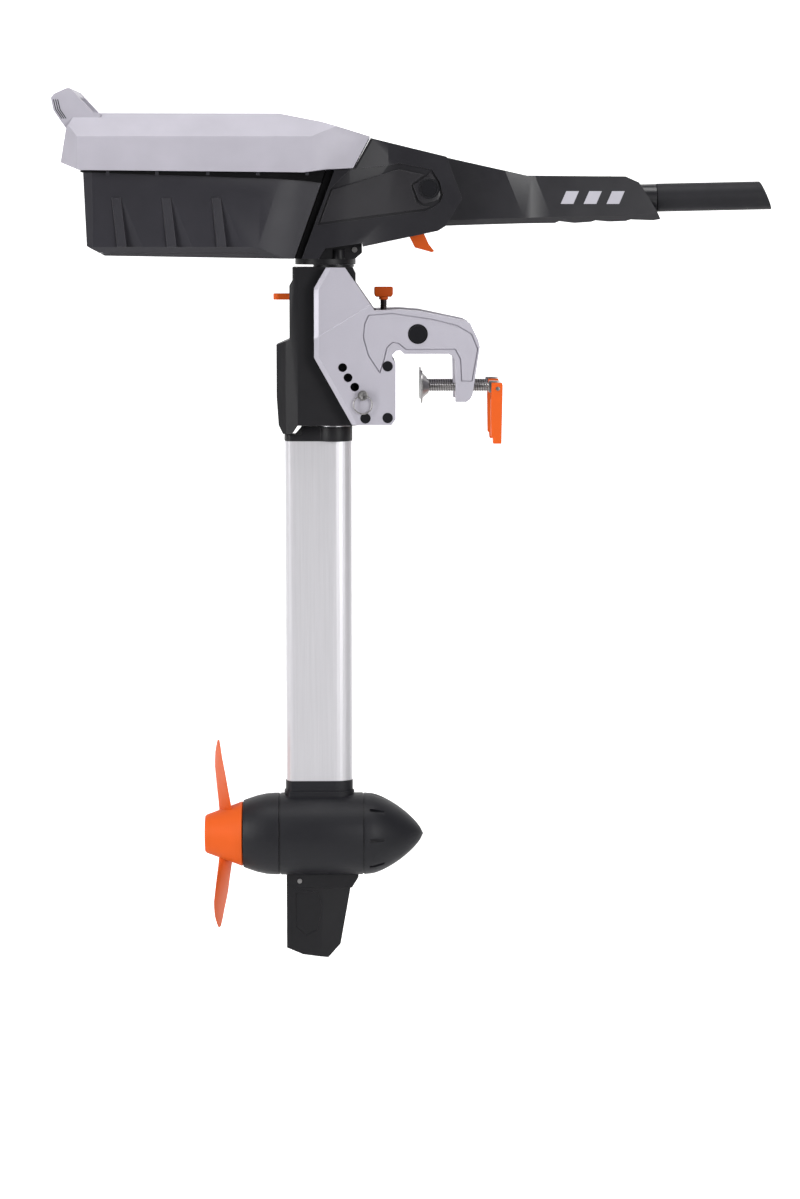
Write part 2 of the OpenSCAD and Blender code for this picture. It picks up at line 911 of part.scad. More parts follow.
module rim_seal() {
    color("#17171b")
        difference() {
            intersection() {
                slab(concat([[-434, lid_low(-434)]], tub_top, [[-129.4, 229.2], [-156, lid_z0]]),
                    -lid_w, lid_w);
                linear_extrude(height = big)
                    polygon([[-435, -84], [-418, -98], [-188, -98], [-127, -70],
                        [-127, 70], [-188, 98], [-418, 98], [-435, 84]]);
            }
            block(-426, -190, -82, 82, 200, 262);
            // Room for the socket
            block(-160, -132, -25, 25, 200, 215);
        }
}

tub_outline = concat([[-431, tub_z1 + 4], [-427, 135], [-405, 123], [-255, tub_z0 + 1],
    [-169, tub_z0]], [for (i = [len(tub_top) - 1:-1:1]) tub_top[i]]);

module tub_rib(x) {
    // A wedge that is widest and proudest at its foot
    difference() {
        slab([[x, 196], [x + 9, 195], [x + 37, 134], [x + 7, 134]],
            -tub_w / 2 - rib_h, -tub_w / 2 + rib_h);
        translate([x - 20, -tub_w / 2 - rib_h, 132])
            rotate([-rib_slope, 0, 0])
                translate([0, -20, 0])
                    cube([80, 20, 90]);
    }
}

module battery_tub() {
    color("#3d3b43")
        difference() {
            union() {
                intersection() {
                    slab(tub_outline, -lid_w, lid_w);
                    slice_x([[-tub_w / 2, 250], [-tub_w / 2, 134], [-tub_w / 2 + 16, tub_z0],
                        [tub_w / 2 - 16, tub_z0], [tub_w / 2, 134], [tub_w / 2, 250]], -500, 0);
                    // Front corners cut away along the slope of the head
                    translate([-200, 0, 175])
                        rotate([0, diag, 0])
                            linear_extrude(height = big, center = true)
                                polygon([[-300, -120], [-67.5, -120], [63, -62],
                                    [63, 62], [-67.5, 120], [-300, 120]]);
                    linear_extrude(height = big)
                        polygon([[-440, -70], [-398, -110], [0, -110],
                            [0, 110], [-398, 110], [-440, 70]]);
                }
                both_sides()
                    for (i = [0:2])
                        tub_rib(-394.5 + i * rib_pitch);
            }
            block(-418, cell_x1 + 6, -82, 82, 126, 260);
            block(cell_x1 + 5, -174, -56, 56, 128, 260);
            // Socket bay in the sloping front
            block(-152, -100, -24, 24, 100, 216);
        }
}

module battery_socket() {
    color("#3a3a40")
        difference() {
            block(-151, -132.5, -24, 24, 197, 214);
            for (y = [-13, 0, 13])
                rod_z(7, 196, 208, -140.5, y);
        }
}

module cell_block() {
    color("#4a6f8f")
        block(-412, cell_x1, -78, 78, 130, 208);
}

module battery_board() {
    color("#2f6b3c")
        union() {
            block(-400, cell_x1 - 2, -70, 70, 211, 213);
            block(-380, -340, -50, -10, 213, 222);
            block(-320, -290, 10, 50, 213, 225);
        }
}

// ---------------------------------------------------------------- tiller

tiller_outline = [[20, 246], [124, 223], [249, 222], [266, 214.5], [270, 209], [290, 176.5],
    [294, 168.5], [285, 167], [256, 168], [250, 166], [230, 165.3], [212, 167], [206, 165],
    [186, 163.6], [166, 166], [160, 163.5], [121, 163], [75, 161.8], [22, 160],
    [-20, 168], [-20, 240]];

tiller_plan = [[-60, -tiller_root_w / 2], [60, -tiller_root_w / 2], [130, -tiller_tip_w / 2 - 2],
    [300, -tiller_tip_w / 2], [300, tiller_tip_w / 2], [130, tiller_tip_w / 2 + 2],
    [60, tiller_root_w / 2], [-60, tiller_root_w / 2]];

module grip_place() {
    translate([grip_x0, 0, grip_z0])
        rotate([0, 90 - grip_tilt, 0])
            children();
}

module tiller_arm() {
    color("#242429")
        difference() {
            union() {
                intersection() {
                    slab(tiller_outline, -60, 60);
                    linear_extrude(height = big)
                        polygon(tiller_plan);
                }
                rod_y(2 * root_r, -tiller_root_w / 2, tiller_root_w / 2, pivot_x, pivot_z);
                rod_y(30, -cheek_in + 0.5, cheek_in - 0.5, pivot_x, pivot_z);
                grip_place()
                    translate([0, 0, -25])
                        cylinder(d = grip_dia - 0.6, h = 26);
            }
            rod_y(12 + 2 * play, -60, 60, pivot_x, pivot_z);
            // Wiring space
            block(70, 240, -18, 18, 176, 212);
            grip_place()
                translate([0, 0, -46])
                    cylinder(d = 24, h = 100);
            block(150, 232, -20, 20, 220, 300);
            rod_z(12.4, 190, 300, 138);
            // Keep the foot of the arm out of the release trigger's way
            block(-60, 18, -9, 9, 100, 163);
        }
}

module tiller_display() {
    color("#0f1014")
        block(150, 232, -20, 20, 220, 222.4);
}

module power_button() {
    color("#f0702a")
        union() {
            rod_z(11.6, 214, 222.3, 138);
            rod_z(8, 212.5, 214, 138);
        }
}

module throttle_tube() {
    color("#8d8f96")
        grip_place()
            translate([0, 0, -46])
                difference() {
                    cylinder(d = 24, h = 176);
                    translate([0, 0, -1])
                        cylinder(d = 18, h = 178);
                }
}

module throttle_grip() {
    color("#1d1d22")
        difference() {
            grip_place()
                difference() {
                    translate([0, 0, 1.5])
                        cylinder(d = grip_dia, h = grip_len - 1.5);
                    translate([0, 0, -1])
                        cylinder(d = 24 + 2 * play, h = 133);
                }
            // Slanted end
            translate([421.5, 0, 217])
                rotate([0, -24, 0])
                    translate([0, -50, -100])
                        cube([60, 100, 160]);
        }
}

module lock_trigger() {
    color("#f0702a")
        difference() {
            union() {
                rod_y(9, -7, 7, trigger_x, trigger_z);
                slab([[-24, 147], [-20, 156], [-12, 156], [-5, 150], [1, 137], [8, 128], [5, 126.5],
                    [-16.5, 132.5]], -7, 7);
            }
            rod_y(4, -10, 10, trigger_x, trigger_z);
        }
    color("#8d8f96")
        rod_y(4, -12, 12, trigger_x, trigger_z);
}

clamp_plate_near();
clamp_plate_far();
transom_saddle();
tilt_axle();
axle_caps();
cross_bolts();
spacer_tubes();
bolt_caps();
trim_pin();
split_ring();
pressure_pad_near();
clamp_screw_near();
clamp_handle_near();
pressure_pad_far();
clamp_screw_far();
clamp_handle_far();
swivel_housing();
tilt_bushes();
steering_bushes();
friction_lever();
lever_pin();
rest_shoe();
rest_screw();
steering_tube();
shaft_tube();
shaft_collar();
steering_neck();
leg_screws();
head_housing();
head_panels();
pivot_caps();
hinge_pin();
dock_gasket();
head_plug();
power_cable();
pod_foot();
pod_body();
pod_rear();
nose_cone();
stator();
controller_board();
shaft_bearings();
shaft_seal();
skeg();
prop_shaft();
motor_rotor();
propeller();
battery_tub();
battery_lid();
rim_seal();
lid_strip();
cell_block();
battery_board();
battery_socket();
tiller_arm();
tiller_display();
power_button();
throttle_tube();
throttle_grip();
lock_trigger();
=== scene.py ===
"""Electric outboard with a transom clamp: the looks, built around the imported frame."""
import json
import math

import bmesh
import bpy
from mathutils import Matrix, Vector


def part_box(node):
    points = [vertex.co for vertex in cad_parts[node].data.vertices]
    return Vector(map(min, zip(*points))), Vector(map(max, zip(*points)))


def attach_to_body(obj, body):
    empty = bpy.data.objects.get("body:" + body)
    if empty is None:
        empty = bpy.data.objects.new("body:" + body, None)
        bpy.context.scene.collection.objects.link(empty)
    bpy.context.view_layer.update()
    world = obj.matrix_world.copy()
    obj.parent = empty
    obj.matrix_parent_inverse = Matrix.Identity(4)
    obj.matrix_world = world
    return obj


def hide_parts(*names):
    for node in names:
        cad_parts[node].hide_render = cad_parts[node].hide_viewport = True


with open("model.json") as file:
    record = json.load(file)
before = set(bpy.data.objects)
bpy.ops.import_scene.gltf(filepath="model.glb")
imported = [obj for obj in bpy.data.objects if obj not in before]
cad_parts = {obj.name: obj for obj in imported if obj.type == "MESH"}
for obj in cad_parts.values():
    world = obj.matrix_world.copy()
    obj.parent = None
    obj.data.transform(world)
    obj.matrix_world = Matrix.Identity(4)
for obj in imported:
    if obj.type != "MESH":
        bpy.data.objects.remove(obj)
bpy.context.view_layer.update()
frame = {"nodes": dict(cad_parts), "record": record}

MM = 0.001
# Vertices closer than this many metres are one, and faces within this angle are flat
WELD = 2e-6
FLAT_ANGLE = 0.6
SCENE = bpy.context.scene
NODES = frame["nodes"]
BODY_OF = {n: b for b, ns in frame["record"]["behaviour"]["bodies"].items() for n in ns}
SLOT_OF = {s["node"]: s["material_slot"] for s in frame["record"]["subparts"]}


# ------------------------------------------------------------------ mesh helpers

def link(name, mesh):
    piece = bpy.data.objects.new(name, mesh)
    SCENE.collection.objects.link(piece)
    return piece


def from_bmesh(name, bm):
    mesh = bpy.data.meshes.new(name)
    bm.to_mesh(mesh)
    bm.free()
    return link(name, mesh)


def copy_of(node):
    """A clean copy of a CAD node's mesh, with its flat faces joined up."""
    bm = bmesh.new()
    bm.from_mesh(NODES[node].data)
    bmesh.ops.remove_doubles(bm, verts=bm.verts, dist=WELD)
    bmesh.ops.dissolve_limit(bm, angle_limit=math.radians(FLAT_ANGLE), verts=bm.verts, edges=bm.edges)
    bmesh.ops.recalc_face_normals(bm, faces=bm.faces)
    piece = from_bmesh(node + "_shell", bm)
    if "custom_normal" in piece.data.attributes:
        piece.data.attributes.remove(piece.data.attributes["custom_normal"])
    return piece


def bake_modifiers(piece):
    """Replaces the piece's mesh by what its modifiers make of it."""
    graph = bpy.context.evaluated_depsgraph_get()
    mesh = bpy.data.meshes.new_from_object(piece.evaluated_get(graph))
    piece.modifiers.clear()
    piece.data = mesh
    return piece


def smooth(piece, angle=32):
    """Smooth shading, apart from edges sharper than the angle."""
    for face in piece.data.polygons:
        face.use_smooth = True
    piece.data.set_sharp_from_angle(angle=math.radians(angle))
    return piece


def facets(piece, least=3.0, angle=2.0):
    """Keeps the edge between two broad flat faces crisp. The least width is in millimetres."""
    bm = bmesh.new()
    bm.from_mesh(piece.data)
    broad = {f.index: f.calc_area() > least * MM * max(e.calc_length() for e in f.edges)
             for f in bm.faces}
    for edge in bm.edges:
        if len(edge.link_faces) == 2 and all(broad[f.index] for f in edge.link_faces):
            if edge.calc_face_angle(0) > math.radians(angle):
                edge.smooth = False
    bm.to_mesh(piece.data)
    bm.free()
    mod = piece.modifiers.new("flatten", "WEIGHTED_NORMAL")
    mod.keep_sharp = True
    mod.weight = 100
    return bake_modifiers(piece)


def bevel(piece, width, segments=3, angle=25):
    """Rounds every edge sharper than the angle. The width is in millimetres."""
    mod = piece.modifiers.new("bevel", "BEVEL")
    mod.width = width * MM
    mod.segments = segments
    mod.limit_method = "ANGLE"
    mod.angle_limit = math.radians(angle)
    mod.harden_normals = False
    mod.miter_outer = "MITER_ARC"
    mod.use_clamp_overlap = True
    bake_modifiers(piece)
    return smooth(piece)


def cut(piece, tool):
    """Takes the tool's shape out of the piece, and removes the tool."""
    mod = piece.modifiers.new("cut", "BOOLEAN")
    mod.object = tool
    mod.operation = "DIFFERENCE"
    mod.solver = "EXACT"
    bake_modifiers(piece)
    bpy.data.objects.remove(tool)
    return piece


def join(name, pieces):
    """One object from several, each keeping its own materials."""
    bm = bmesh.new()
    mesh = bpy.data.meshes.new(name)
    slots = []
    for piece in pieces:
        part = piece.data.copy()
        part.transform(piece.matrix_world)
        for face in part.polygons:
            face.material_index += len(slots)
        slots += list(part.materials)
        bm.from_mesh(part)
    bm.to_mesh(mesh)
    bm.free()
    for slot in slots:
        mesh.materials.append(slot)
    for piece in pieces:
        bpy.data.objects.remove(piece)
    return link(name, mesh)


def prism(outline, y0, y1):
    """A closed slab with an outline in x and z, between two values of y, all in millimetres."""
    bm = bmesh.new()
    rings = [[bm.verts.new((x * MM, y * MM, z * MM)) for x, z in outline] for y in (y0, y1)]
    bm.faces.new(rings[0])
    bm.faces.new(list(reversed(rings[1])))
    count = len(outline)
    for i in range(count):
        j = (i + 1) % count
        bm.faces.new((rings[0][j], rings[0][i], rings[1][i], rings[1][j]))
    bmesh.ops.recalc_face_normals(bm, faces=bm.faces)
    return from_bmesh("prism", bm)


def loft(name, first, last):
    """A closed solid between two rings of points, in millimetres."""
    bm = bmesh.new()
    rows = [[bm.verts.new([c * MM for c in point]) for point in ring] for ring in (first, last)]
    count = len(first)
    for i in range(count):
        j = (i + 1) % count
        bm.faces.new((rows[0][i], rows[0][j], rows[1][j], rows[1][i]))
    bm.faces.new(rows[0])
    bm.faces.new(rows[1])
    bmesh.ops.recalc_face_normals(bm, faces=bm.faces)
    return from_bmesh(name, bm)


def ribbon(points, width, y0, y1):
    """A slab that follows an open line in x and z."""
    left, right = [], []
    for i, point in enumerate(points):
        before = Vector(points[max(0, i - 1)])
        after = Vector(points[min(len(points) - 1, i + 1)])
        here = Vector(point)
        last = i == len(points) - 1
        ahead = (here - before).normalized() if last else (after - here).normalized()
        behind = (here - before).normalized() if i else ahead
        middle = (ahead + behind).normalized()
        side = Vector((-middle.y, middle.x)) * (width / 2 / max(0.5, middle.dot(ahead)))
        left.append(tuple(here + side))
        right.append(tuple(here - side))
    return prism(left + right[::-1], y0, y1)


def spun(profile, centre, axis="X", steps=64, hollow=False):
    """A closed solid of revolution, or a ring. The profile holds (place along the axis, radius)."""
    bm = bmesh.new()
    rings = []
    for along, radius in profile:
        ring = []
        for k in range(steps):
            a = 2 * math.pi * k / steps
            c, d = radius * math.cos(a), radius * math.sin(a)
            local = {"X": (along, c, d), "Y": (c, along, d), "Z": (c, d, along)}[axis]
            ring.append(bm.verts.new([(p + q) * MM for p, q in zip(local, centre)]))
        rings.append(ring)
    for one, two in zip(rings, rings[1:] + rings[:1] if hollow else rings[1:]):
        for k in range(steps):
            j = (k + 1) % steps
            bm.faces.new((one[k], one[j], two[j], two[k]))
    if not hollow:
        bm.faces.new(rings[0])
        bm.faces.new(rings[-1])
    bmesh.ops.recalc_face_normals(bm, faces=bm.faces)
    return from_bmesh("spun", bm)


def threaded(x0, x1, radius, pitch, depth, centre, axis="X", steps=28, rows_per_turn=6):
    """A rod with a real helical thread."""
    bm = bmesh.new()
    rows = int((x1 - x0) / pitch * rows_per_turn)
    rings = []
    for r in range(rows + 1):
        along = x0 + (x1 - x0) * r / rows
        ring = []
        for k in range(steps):
            turn = k / steps
            phase = (along / pitch - turn) % 1.0
            here = radius - depth * (1 - abs(2 * phase - 1))
            a = 2 * math.pi * turn
            c, d = here * math.cos(a), here * math.sin(a)
            local = {"X": (along, c, d), "Z": (c, d, along)}[axis]
            ring.append(bm.verts.new([(p + q) * MM for p, q in zip(local, centre)]))
        rings.append(ring)
    for one, two in zip(rings, rings[1:]):
        for k in range(steps):
            j = (k + 1) % steps
            bm.faces.new((one[k], one[j], two[j], two[k]))
    bm.faces.new(rings[0])
    bm.faces.new(rings[-1])
    bmesh.ops.recalc_face_normals(bm, faces=bm.faces)
    return smooth(from_bmesh("thread", bm), 50)


def slice_at(piece, point, normal):
    """Adds an edge all round the piece where a plane meets it."""
    bm = bmesh.new()
    bm.from_mesh(piece.data)
    bmesh.ops.bisect_plane(bm, geom=bm.verts[:] + bm.edges[:] + bm.faces[:],
                           plane_co=[c * MM for c in point], plane_no=normal)
    bm.to_mesh(piece.data)
    bm.free()
    return piece


def push(piece, move):
    """Moves each vertex. The move takes and gives x, y and z in millimetres."""
    for vertex in piece.data.vertices:
        vertex.co = Vector(move(*(c / MM for c in vertex.co))) * MM
    piece.data.update()
    return piece


def left_of(start, end):
    """Unit normal on the left of a line in x and z."""
    direction = (Vector(end) - Vector(start)).normalized()
    return Vector((-direction.y, direction.x))


def both(make):
    """Runs a maker for the near side, -1, and the far side, +1."""
    return [make(side) for side in (-1, 1)]


# ------------------------------------------------------------------ materials

class Shader:
    """A small builder for one node material around a Principled shader."""

    def __init__(self, name):
        self.mat = bpy.data.materials.new(name)
        self.mat.use_nodes = True
        self.tree = self.mat.node_tree
        self.bsdf = self.tree.nodes["Principled BSDF"]
        self.coords = self.add("ShaderNodeTexCoord").outputs["Object"]

    def add(self, kind, **values):
        node = self.tree.nodes.new(kind)
        for key, value in values.items():
            setattr(node, key, value)
        return node

    def wire(self, source, target):
        self.tree.links.new(source, target)

    def noise(self, scale, detail=4.0, rough=0.55, stretch=(1, 1, 1)):
        mapping = self.add("ShaderNodeMapping")
        mapping.inputs["Scale"].default_value = stretch
        self.wire(self.coords, mapping.inputs["Vector"])
        tex = self.add("ShaderNodeTexNoise")
        tex.inputs["Scale"].default_value = scale
        tex.inputs["Detail"].default_value = detail
        tex.inputs["Roughness"].default_value = rough
        self.wire(mapping.outputs["Vector"], tex.inputs["Vector"])
        return tex.outputs["Fac"]

    def spread(self, value, low, high, start=0.0, end=1.0):
        node = self.add("ShaderNodeMapRange")
        node.inputs["From Min"].default_value = start
        node.inputs["From Max"].default_value = end
        node.inputs["To Min"].default_value = low
        node.inputs["To Max"].default_value = high
        self.wire(value, node.inputs["Value"])
        return node.outputs["Result"]

    def mix(self, fac, a, b):
        node = self.add("ShaderNodeMix", data_type="RGBA")
        self.wire(fac, node.inputs["Factor"])
        for value, socket in ((a, node.inputs["A"]), (b, node.inputs["B"])):
            if isinstance(value, bpy.types.NodeSocket):
                self.wire(value, socket)
            else:
                socket.default_value = (*value, 1.0)
        return node.outputs["Result"]

    def edges(self, radius, low=0.02, high=0.12):
        """A mask that is one along sharp edges and zero on flat stretches."""
        bevel_node = self.add("ShaderNodeBevel", samples=6)
        bevel_node.inputs["Radius"].default_value = radius * MM
        geometry = self.add("ShaderNodeNewGeometry")
        dot = self.add("ShaderNodeVectorMath", operation="DOT_PRODUCT")
        self.wire(bevel_node.outputs["Normal"], dot.inputs[0])
        self.wire(geometry.outputs["Normal"], dot.inputs[1])
        return self.spread(dot.outputs["Value"], 1.0, 0.0, 1.0 - high, 1.0 - low)

    def bump(self, height, strength, distance):
        node = self.add("ShaderNodeBump")
        node.inputs["Strength"].default_value = strength
        node.inputs["Distance"].default_value = distance * MM
        self.wire(height, node.inputs["Height"])
        if self.bsdf.inputs["Normal"].is_linked:
            self.wire(self.bsdf.inputs["Normal"].links[0].from_socket, node.inputs["Normal"])
        self.wire(node.outputs["Normal"], self.bsdf.inputs["Normal"])

    def colour(self, value):
        self.wire(value, self.bsdf.inputs["Base Color"])

    def rough(self, value):
        self.wire(value, self.bsdf.inputs["Roughness"])

    def set(self, **values):
        for key, value in values.items():
            self.bsdf.inputs[key.replace("_", " ")].default_value = value
        return self


def shade(colour, factor):
    return tuple(min(1.0, c * factor) for c in colour)


def plastic(name, colour, rough=0.5, grain=0.06, grain_size=900, wear=0.35, specular=0.45):
    """Moulded plastic with a fine spark-eroded grain and slightly paler edges."""
    s = Shader(name)
    cloud = s.noise(14, 3)
    base = s.mix(s.spread(cloud, 0, 1, 0.3, 0.7), shade(colour, 0.93), shade(colour, 1.06))
    edge = s.edges(0.7)
    lift = s.add("ShaderNodeMath", operation="MULTIPLY")
    s.wire(edge, lift.inputs[0])
    s.wire(s.spread(s.noise(160, 2), wear * 0.3, wear), lift.inputs[1])
    pale = tuple(c + (0.55 - c) * 0.25 if c < 0.3 else min(1.0, c * 1.15) for c in colour)
    s.colour(s.mix(lift.outputs["Value"], base, pale))
    s.rough(s.spread(s.noise(40, 4), rough - 0.05, rough + 0.06))
    s.bump(s.noise(grain_size, 2), 0.35, grain)
    s.set(Specular_IOR_Level=specular)
    return s.mat


def paint(name, colour, rough=0.38, flake=0.5, metallic=0.35):
    """Powder coat with a little metal flake over a casting."""
    s = Shader(name)
    cloud = s.noise(9, 3)
    base = s.mix(s.spread(cloud, 0, 1, 0.3, 0.7), shade(colour, 0.97), shade(colour, 1.03))
    fleck = s.spread(s.noise(2600, 1), 0, flake, 0.52, 0.75)
    base = s.mix(fleck, base, shade(colour, 1.22))
    edge = s.edges(0.8)
    s.colour(s.mix(s.spread(edge, 0, 0.35), base, shade(colour, 1.18)))
    s.rough(s.spread(s.noise(70, 4), rough - 0.04, rough + 0.07))
    s.bump(s.noise(420, 3), 0.25, 0.05)
    s.set(Metallic=metallic, Specular_IOR_Level=0.5)
    return s.mat


def metal(name, colour, rough=0.3, stretch=(1, 1, 1), scale=300, depth=0.02, metallic=1.0):
    """Bare metal with fine machining lines along one direction."""
    s = Shader(name)
    lines = s.noise(scale, 5, 0.6, stretch)
    s.colour(s.mix(lines, shade(colour, 0.88), shade(colour, 1.08)))
    s.rough(s.spread(s.noise(scale * 0.7, 4, 0.6, stretch), rough - 0.08, rough + 0.1))
    s.bump(lines, 0.25, depth)
    s.set(Metallic=metallic)
    return s.mat


def rubber(name, colour, rough=0.7, specular=0.35):
    s = Shader(name)
    dust = s.spread(s.noise(30, 5), 0, 0.25, 0.45, 0.8)
    s.colour(s.mix(dust, colour, shade(colour, 1.8)))
    s.rough(s.spread(s.noise(90, 3), rough - 0.06, rough + 0.08))
    s.bump(s.noise(1400, 2), 0.3, 0.05)
    s.set(Specular_IOR_Level=specular)
    return s.mat


ORANGE = (0.70, 0.105, 0.014)
MATS = {
    "bracket_paint": paint("bracket_paint", (0.43, 0.415, 0.47), 0.4, 0.4, 0.2),
    "saddle_paint": paint("saddle_paint", (0.42, 0.41, 0.46), 0.42, 0.4, 0.3),
    "steel": metal("turned_steel", (0.34, 0.33, 0.33), 0.3),
    "cap_black": plastic("cap_black", (0.006, 0.006, 0.008), 0.45, specular=0.15),
    "orange_plastic": plastic("orange_plastic", ORANGE, 0.5, 0.05, 900, 0.05, 0.12),
    "swivel_black": plastic("swivel_black", (0.0065, 0.0062, 0.008), 0.45, specular=0.3),
    "bush_plastic": plastic("bush_plastic", (0.62, 0.60, 0.56), 0.4),
    "bush_black": plastic("bush_black", (0.02, 0.02, 0.022), 0.4),
    "leg_alloy": metal("anodised_leg", (0.66, 0.65, 0.68), 0.34, (1, 1, 0.02), 500, 0.002, 0.4),
    "head_black": plastic("head_black", (0.0108, 0.0102, 0.0135), 0.3, 0.03, specular=0.5),
    "panel_black": plastic("panel_black", (0.0125, 0.0115, 0.0145), 0.36, 0.03, specular=0.45),
    "seal_rubber": rubber("seal_rubber", (0.003, 0.003, 0.0035), 0.75, 0.1),
    "pod_paint": plastic("pod_paint", (0.0095, 0.0095, 0.0125), 0.48, 0.03, 700, 0.1, 0.28),
    "copper": metal("winding_copper", (0.75, 0.36, 0.2), 0.35, (0.05, 1, 1), 700, 0.3),
    "board_green": plastic("board_green", (0.02, 0.11, 0.04), 0.3),
    "rotor_steel": metal("rotor_steel", (0.42, 0.42, 0.43), 0.4, (1, 0.05, 0.05), 900, 0.05),
    "tub_grey": plastic("tub_grey", (0.021, 0.020, 0.026), 0.42, 0.03, specular=0.36),
    "lid_grey": plastic("lid_grey", (0.385, 0.37, 0.42), 0.46, 0.05, 900, 0.25, 0.4),
    "cell_wrap": plastic("cell_wrap", (0.03, 0.10, 0.20), 0.3),
    "display_glass": plastic("display_glass", (0.006, 0.006, 0.008), 0.12, 0.0),
    "grip_rubber": rubber("grip_rubber", (0.0105, 0.0102, 0.013), 0.55, 0.25),
    "cable_black": rubber("cable_black", (0.012, 0.012, 0.012), 0.5),
    "thread_steel": metal("thread_steel", (0.15, 0.14, 0.14), 0.36),
    "mark_print": plastic("mark_print", (0.42, 0.41, 0.46), 0.5, 0.02),
}


def dress(piece, slot_name):
    """Gives a piece one material."""
    piece.data.materials.clear()
    piece.data.materials.append(MATS[slot_name])
    return piece


def stand_for(piece, node, slot_name=None):
    """The piece takes the place of a CAD node, with its finish."""
    chosen = slot_name or SLOT_OF[node]
    if not piece.data.materials:
        dress(piece, chosen)
    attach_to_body(piece, BODY_OF[node])
    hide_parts(node)
    return piece


def attach(name, pieces, node):
    """Small pieces, joined into one, that ride the body of a CAD node."""
    piece = join(name, pieces)
    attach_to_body(piece, BODY_OF[node])
    return piece


for node, part in NODES.items():
    dress(part, SLOT_OF[node])

# Pieces whose CAD shape is right and only needs its edges broken: node and bevel in millimetres
BEVELLED = {
    "transom_saddle": 1.2, "axle_caps": 1.0, "bolt_caps": 0.8,
    "clamp_handle_near": 2.2, "clamp_handle_far": 2.2,
    "pressure_pad_near": 0.5, "pressure_pad_far": 0.5,
    "swivel_housing": 2.5, "friction_lever": 1.2, "steering_neck": 1.2, "dock_gasket": 0.8,
    "pod_foot": 0.6, "pod_rear": 1.1, "propeller": 0.8,
    "battery_lid": 2.6, "rim_seal": 1.0, "lid_strip": 1.0,
    "tiller_display": 0.4, "power_button": 0.6, "throttle_grip": 1.2, "lock_trigger": 1.4,
}
BROAD_FACE = 8.0
for node, width in BEVELLED.items():
    stand_for(facets(bevel(copy_of(node), width), BROAD_FACE), node)


# ------------------------------------------------------------------ head

HEAD_Y = 62.0
CHEEK_IN = 50.0
CREASE_X, FLARE_END_X, FLARE = -51.0, -100.0, 0.13
RECESS_DEPTH, PANEL_BACK, PANEL_DROP, SEAT_DROP = 3.6, 4.2, 0.3, 0.4
PIVOT_X, PIVOT_Z = 0.0, 206.7
RECESS = [(-98, 230.4), (-52, 235), (-38, 238), (4, 230), (13.4, 214.4), (17.4, 198.5),
          (14.2, 189.6), (4, 182.4), (-5, 178.4), (-140.4, 160.4), (-124, 206)]
PANEL = [(-121.2, 205.2), (-38, 230.4), (-5.4, 223.4), (-22.9, 211.4), (-16, 189.4),
         (-8, 184.5), (1.4, 184.4), (-5.3, 181.3), (-136.6, 163.8)]
CAP_SEAT = [(2.2, 227), (10.8, 213.5), (14.6, 198.6), (11.9, 192), (-7, 187.4), (-13.3, 191.8),
            (-20.2, 210.4), (-3.3, 221.6)]
LIP, LIP_BACK, LIP_PROUD = [(-94.0, 231.4), (-73.2, 268.4), (-70.2, 267.6), (-91.2, 230.8)], 4, 0.15
# The round cover over the tiller's hinge: height above the head's side, and radius
COVER = [(-3, 13.3), (0.6, 13.3), (1.4, 12.5), (1.4, 11.0), (0.4, 10.6), (0.4, 9.8), (1.0, 9.2),
         (1.0, 0.5)]


def flared(x, y, z):
    """The head's sides spread towards the battery, aft of a crease."""
    if abs(y) < CHEEK_IN or x > CREASE_X:
        return x, y, z
    out = (CREASE_X - max(x, FLARE_END_X)) * FLARE
    return x, y + math.copysign(out, y), z


def flare(piece):
    """Creases a piece along the head's facets and spreads its sides."""
    for x in (CREASE_X, FLARE_END_X):
        slice_at(piece, (x, 0, 0), (1, 0, 0))
    return push(piece, flared)


def side_panel(side):
    panel = prism(PANEL, side * (HEAD_Y - PANEL_BACK), side * (HEAD_Y - PANEL_DROP))
    return dress(facets(bevel(flare(panel), 0.7)), "panel_black")


def cap_seat(side):
    seat = prism(CAP_SEAT, side * (HEAD_Y - PANEL_BACK), side * (HEAD_Y - SEAT_DROP))
    return dress(bevel(seat, 0.7), "panel_black")


def pivot_cover(side):
    profile = [(side * (HEAD_Y + rise), radius) for rise, radius in COVER]
    return dress(smooth(spun(profile, (PIVOT_X, 0, PIVOT_Z), "Y"), 30), "cap_black")


def make_head():
    """The head with its sunk black side panels and the covers over the tiller's hinge."""
    shell = copy_of("head_housing")
    for side in (-1, 1):
        cut(shell, prism(RECESS, side * (HEAD_Y - RECESS_DEPTH), side * (HEAD_Y + 2)))
    stand_for(facets(bevel(flare(shell), 1.3)), "head_housing")
    panels = join("side_panels", both(side_panel) + both(cap_seat))
    stand_for(panels, "head_panels", "panel_black")
    stand_for(join("pivot_cover", both(pivot_cover)), "pivot_caps", "cap_black")


def head_lip(side):
    strip = prism(LIP, side * (HEAD_Y - LIP_BACK), side * (HEAD_Y + LIP_PROUD))
    return dress(push(strip, flared), "cap_black")


def make_head_lip():
    """The dark seam between the front edge of the lid and the head."""
    attach("head_lip", both(head_lip), "head_housing")


# ------------------------------------------------------------------ tiller

# Half width of the arm at three places along it, with a turned facet between the first two
BAND = ((98.0, 36.0), (133.5, 31.0), (294.0, 27.5))
SLANT = 0.407
ARM_TOP = 224.5
ARM_ROOT_X, ARM_CORE = 24.0, 24.5
CHAMFER_AT, CHAMFER_RISE, CHAMFER_SLOPE = (27.1, 167.4), 0.0288, 0.55
BAR_X, BAR_PITCH, BAR_WIDTH, BAR_LEAN, BAR_Z = 167, 29, 16, 7, (187.5, 203.5)
BAR_PROUD, BAR_ROOT, BAR_Y = 0.35, -0.8, (26, 27)


